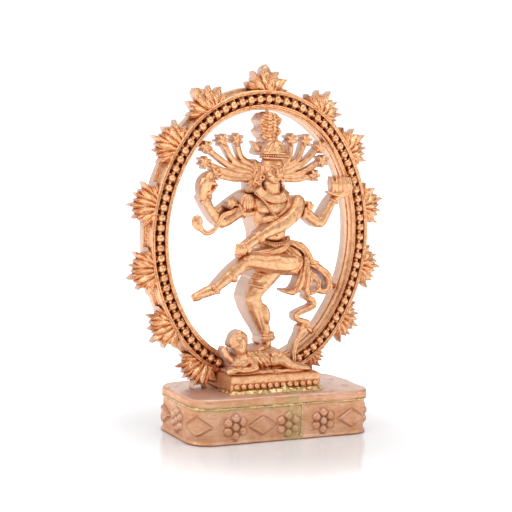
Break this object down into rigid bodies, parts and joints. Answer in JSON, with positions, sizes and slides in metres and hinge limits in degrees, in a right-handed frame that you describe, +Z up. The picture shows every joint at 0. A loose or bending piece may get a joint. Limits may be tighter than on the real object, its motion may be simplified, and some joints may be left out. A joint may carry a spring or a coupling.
{
  "type": "nataraja statue",
  "caption": "Cast dancing Nataraja figure in an oval ring of flames, standing on a dwarf and a beaded pedestal, brazed on a box base of embossed sheet.",
  "frame": {"origin": "centre of the base's underside, where the statue rests on the table", "axes": "+Z up, +X to the viewer's right, the front of the figure faces -Y"},
  "size_m": [0.078, 0.0272, 0.1001],
  "materials": {
    "cast_figure": "polished casting with a dark patina in the recesses",
    "cast_ring": "polished casting with a dark patina in the recesses",
    "copper_sheet": "copper-coloured sheet, matt and finely scratched",
    "braze": "yellow-green braze metal, satin"
  },
  "bodies": {
    "root": {"base_band": "copper_sheet", "base_lid": "copper_sheet", "base_bottom": "copper_sheet", "lid_braze": "braze", "seam_braze": "braze", "pedestal": "cast_ring", "pedestal_petals": "cast_ring", "pedestal_braze": "braze", "ring": "cast_ring", "ring_beads": "cast_ring", "flame_top": "cast_ring", "flame_left_1": "cast_ring", "flame_left_2": "cast_ring", "flame_left_3": "cast_ring", "flame_left_4": "cast_ring", "flame_left_5": "cast_ring", "flame_left_6": "cast_ring", "flame_right_1": "cast_ring", "flame_right_2": "cast_ring", "flame_right_3": "cast_ring", "flame_right_4": "cast_ring", "flame_right_5": "cast_ring", "flame_right_6": "cast_ring", "ring_ties": "cast_ring", "torso": "cast_figure", "head": "cast_figure", "earrings": "cast_figure", "crown": "cast_figure", "crown_leaf": "cast_figure", "crest": "cast_figure", "hair_curls": "cast_figure", "hair_locks_left": "cast_figure", "hair_locks_right": "cast_figure", "necklaces": "cast_figure", "chest_cord": "cast_figure", "raised_hand_arm": "cast_figure", "drum_arm": "cast_figure", "drum": "cast_figure", "swung_arm": "cast_figure", "fire_arm": "cast_figure", "hand_fire": "cast_figure", "armbands": "cast_figure", "bracelets": "cast_figure", "arm_snake": "cast_figure", "waist_belt": "cast_figure", "hip_cloth": "cast_figure", "side_sash": "cast_figure", "flying_scarf": "cast_figure", "standing_leg": "cast_figure", "raised_leg": "cast_figure", "anklets": "cast_figure", "ground_snake": "cast_figure", "dwarf_body": "cast_figure", "dwarf_head": "cast_figure", "dwarf_limbs": "cast_figure"}
  },
  "joints": []
}
